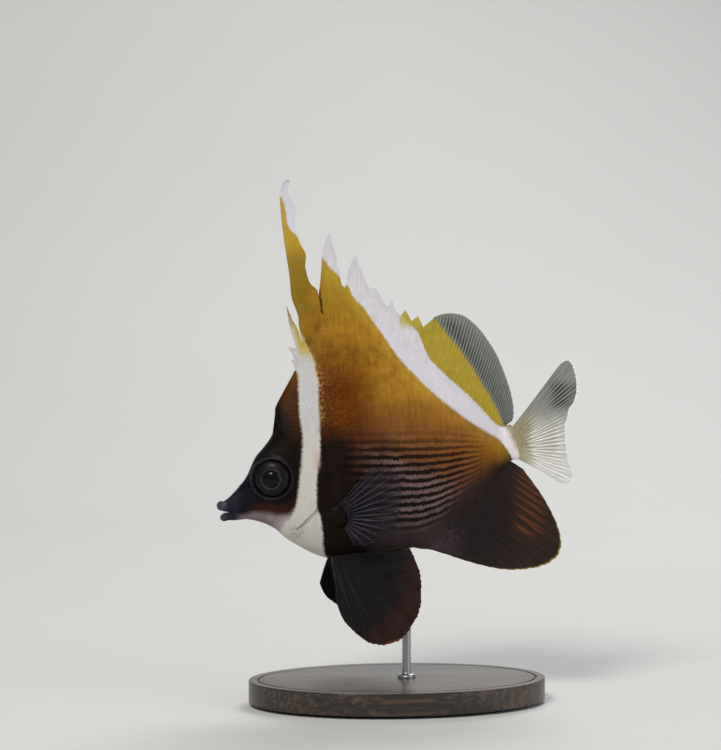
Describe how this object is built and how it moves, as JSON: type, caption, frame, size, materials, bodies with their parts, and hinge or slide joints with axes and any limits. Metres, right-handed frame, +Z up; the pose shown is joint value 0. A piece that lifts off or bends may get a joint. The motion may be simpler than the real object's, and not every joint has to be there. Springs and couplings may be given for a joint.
{
  "type": "horned bannerfish model",
  "caption": "Life-size still model of a young horned bannerfish swimming head down, held by a rod on a low oval display base.",
  "frame": {"origin": "centre of the underside of the display base, on the floor", "axes": "+Z up, the fish faces -X, and its mid plane is Y = 0, so its left side faces -Y"},
  "size_m": [0.1027, 0.056, 0.1467],
  "materials": {
    "head_skin": "satin painted fish skin, dark brown with a white band",
    "body_skin": "satin painted scales, gold above and dark brown below",
    "tail_skin": "satin painted scales, white",
    "gold_fin": "thin gold fin skin with raised rays",
    "white_fin": "thin white fin skin with raised rays",
    "dark_fin": "thin dark brown fin skin with raised rays",
    "clear_fin": "thin smoky fin skin with raised rays",
    "eye": "polished dark eye",
    "stand_wood": "black stained and lacquered wood",
    "stand_steel": "brushed stainless steel"
  },
  "bodies": {
    "root": {"head": "head_skin", "lower_jaw": "head_skin", "gill_cover_left": "head_skin", "gill_cover_right": "head_skin", "eye_left": "eye", "eye_right": "eye", "trunk": "body_skin", "tail_stalk": "tail_skin", "dorsal_front": "white_fin", "dorsal_banner": "gold_fin", "dorsal_spines": "gold_fin", "dorsal_soft": "gold_fin", "anal_fin": "dark_fin", "caudal_fin": "white_fin", "pelvic_fin_left": "dark_fin", "pelvic_fin_right": "dark_fin", "pectoral_fin_left": "clear_fin", "pectoral_fin_right": "clear_fin", "stand_base": "stand_wood", "stand_rod": "stand_steel"}
  },
  "joints": []
}
